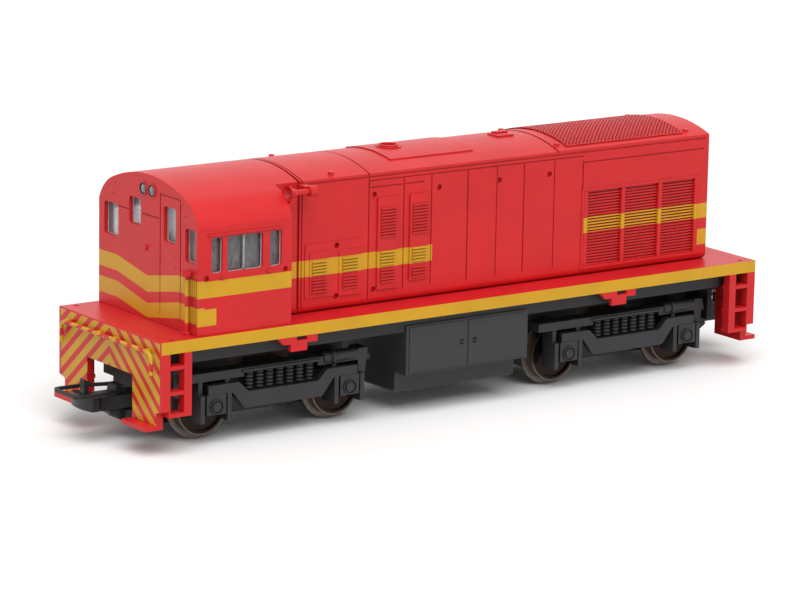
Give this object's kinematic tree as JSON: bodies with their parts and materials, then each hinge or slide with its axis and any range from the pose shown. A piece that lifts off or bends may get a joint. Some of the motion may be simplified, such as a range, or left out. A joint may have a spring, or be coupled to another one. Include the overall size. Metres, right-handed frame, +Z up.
{
  "type": "scale model diesel locomotive",
  "caption": "Small-gauge scale model of an end-cab diesel locomotive: long hood, arched cab, deck with pilots and corner steps, on two swivelling trucks with loop couplers.",
  "frame": {"origin": "halfway along the frame on its centreline, at the lowest point of the wheel flanges", "axes": "+X forward to the cab end, +Y the locomotive's left, +Z up"},
  "size_m": [0.166, 0.0374, 0.0518],
  "materials": {
    "red_plastic": "satin painted",
    "black_plastic": "matt moulded",
    "clear_plastic": "clear moulded",
    "lamp_lens": "clear moulded",
    "cast_weight": "matt black",
    "motor_steel": "plated",
    "wheel_metal": "dark plated",
    "axle_steel": "bright"
  },
  "bodies": {
    "body": {"walkway": "red_plastic", "pilot_front": "red_plastic", "pilot_rear": "red_plastic", "steps_front_left": "red_plastic", "steps_front_right": "red_plastic", "steps_rear_left": "red_plastic", "steps_rear_right": "red_plastic", "lift_bar_front": "red_plastic", "lift_bar_rear": "red_plastic", "cab": "red_plastic", "cab_glazing": "clear_plastic", "headlamp_lenses_front": "lamp_lens", "headlamp_lenses_rear": "lamp_lens", "hood": "red_plastic", "roof_hatch": "red_plastic", "radiator_grille": "red_plastic", "radiator_shutters_left": "red_plastic", "radiator_shutters_right": "red_plastic", "horn": "red_plastic", "chassis": "cast_weight", "motor": "motor_steel", "equipment_box": "black_plastic", "fuel_tank": "black_plastic", "jacking_pads": "red_plastic"},
    "truck_front": {"truck_frame_front": "black_plastic", "truck_side_front_left": "black_plastic", "truck_side_front_right": "black_plastic"},
    "coupler_front_head": {"coupler_front": "black_plastic"},
    "coupler_front_bail": {"coupler_loop_front": "black_plastic"},
    "truck_rear": {"truck_frame_rear": "black_plastic", "truck_side_rear_left": "black_plastic", "truck_side_rear_right": "black_plastic"},
    "coupler_rear_head": {"coupler_rear": "black_plastic"},
    "coupler_rear_bail": {"coupler_loop_rear": "black_plastic"},
    "wheelset_1": {"wheels_1": "wheel_metal", "axle_1": "axle_steel"},
    "wheelset_2": {"wheels_2": "wheel_metal", "axle_2": "axle_steel"},
    "wheelset_3": {"wheels_3": "wheel_metal", "axle_3": "axle_steel"},
    "wheelset_4": {"wheels_4": "wheel_metal", "axle_4": "axle_steel"}
  },
  "joints": [
    {"name": "truck_front_swivel", "type": "hinge", "parent": "body", "child": "truck_front", "pos_m": [0.0426, 0, 0.0157], "axis": [0, 0, 1], "range_deg": [-6, 6]},
    {"name": "coupler_front_swing", "type": "hinge", "parent": "truck_front", "child": "coupler_front_head", "pos_m": [0.069, 0, 0.0077], "axis": [0, 0, 1], "range_deg": [-6, 6]},
    {"name": "coupler_front_lift", "type": "hinge", "parent": "coupler_front_head", "child": "coupler_front_bail", "pos_m": [0.0716, 0, 0.0103], "axis": [0, -1, 0], "range_deg": [0, 30]},
    {"name": "truck_rear_swivel", "type": "hinge", "parent": "body", "child": "truck_rear", "pos_m": [-0.0426, 0, 0.0157], "axis": [0, 0, 1], "range_deg": [-6, 6]},
    {"name": "coupler_rear_swing", "type": "hinge", "parent": "truck_rear", "child": "coupler_rear_head", "pos_m": [-0.069, 0, 0.0077], "axis": [0, 0, 1], "range_deg": [-6, 6]},
    {"name": "coupler_rear_lift", "type": "hinge", "parent": "coupler_rear_head", "child": "coupler_rear_bail", "pos_m": [-0.0716, 0, 0.0103], "axis": [0, 1, 0], "range_deg": [0, 30]},
    {"name": "wheelset_1_spin", "type": "hinge", "parent": "truck_front", "child": "wheelset_1", "pos_m": [0.0581, 0, 0.0067], "axis": [0, 1, 0], "continuous": true},
    {"name": "wheelset_2_spin", "type": "hinge", "parent": "truck_front", "child": "wheelset_2", "pos_m": [0.0271, 0, 0.0067], "axis": [0, 1, 0], "continuous": true},
    {"name": "wheelset_3_spin", "type": "hinge", "parent": "truck_rear", "child": "wheelset_3", "pos_m": [-0.0271, 0, 0.0067], "axis": [0, 1, 0], "continuous": true},
    {"name": "wheelset_4_spin", "type": "hinge", "parent": "truck_rear", "child": "wheelset_4", "pos_m": [-0.0581, 0, 0.0067], "axis": [0, 1, 0], "continuous": true}
  ]
}
